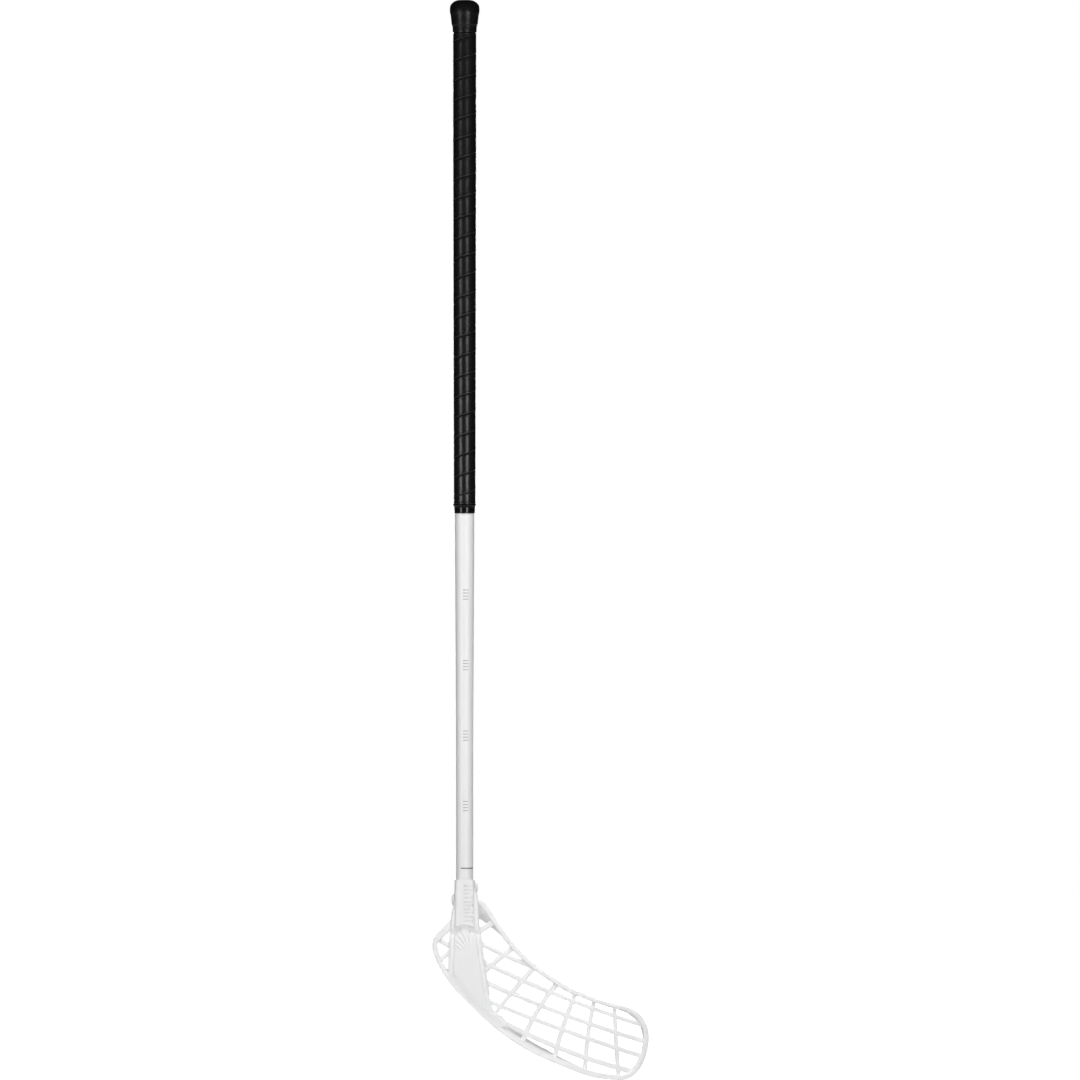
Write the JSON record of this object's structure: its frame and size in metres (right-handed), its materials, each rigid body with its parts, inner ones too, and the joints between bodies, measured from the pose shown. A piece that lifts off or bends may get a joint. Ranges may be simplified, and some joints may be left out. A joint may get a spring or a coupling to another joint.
{
  "type": "floorball stick",
  "caption": "Floorball stick with a slim tapered white shaft, a wound black grip under a rubber knob and a ribbed, hooked white plastic blade.",
  "frame": {"origin": "On the shaft's axis, halfway along the wound grip, where a hand or a gripper holds the stick.", "axes": "+Z runs along the shaft towards the butt and its knob; +X is the way the blade points from the shaft; -Y is the convex front of the blade and +Y is the way its tip hooks."},
  "size_m": [0.2279, 0.0557, 1.1354],
  "materials": {
    "shaft_lacquer": "white gloss lacquer over a composite tube",
    "cap_rubber": "black satin rubber",
    "grip_polymer": "black satin grip tape, fine leather-like grain",
    "collar_rubber": "black glossy rubber",
    "blade_plastic": "white satin moulded plastic",
    "screw_steel": "zinc-plated steel"
  },
  "bodies": {
    "stick": {"shaft": "shaft_lacquer", "grip_tape": "grip_polymer", "grip_collar": "collar_rubber", "blade": "blade_plastic"},
    "end_cap": {"end_cap": "cap_rubber"},
    "left_blade_screw": {"left_blade_screw": "screw_steel"},
    "right_blade_screw": {"right_blade_screw": "screw_steel"}
  },
  "joints": [
    {"name": "end_cap_pull", "type": "slide", "parent": "stick", "child": "end_cap", "axis": [0, 0, 1], "range_m": [0, 0.04]},
    {"name": "left_screw_out", "type": "slide", "parent": "stick", "child": "left_blade_screw", "axis": [-1, 0, 0], "range_m": [0, 0.012]},
    {"name": "right_screw_out", "type": "slide", "parent": "stick", "child": "right_blade_screw", "axis": [1, 0, 0], "range_m": [0, 0.012]}
  ]
}
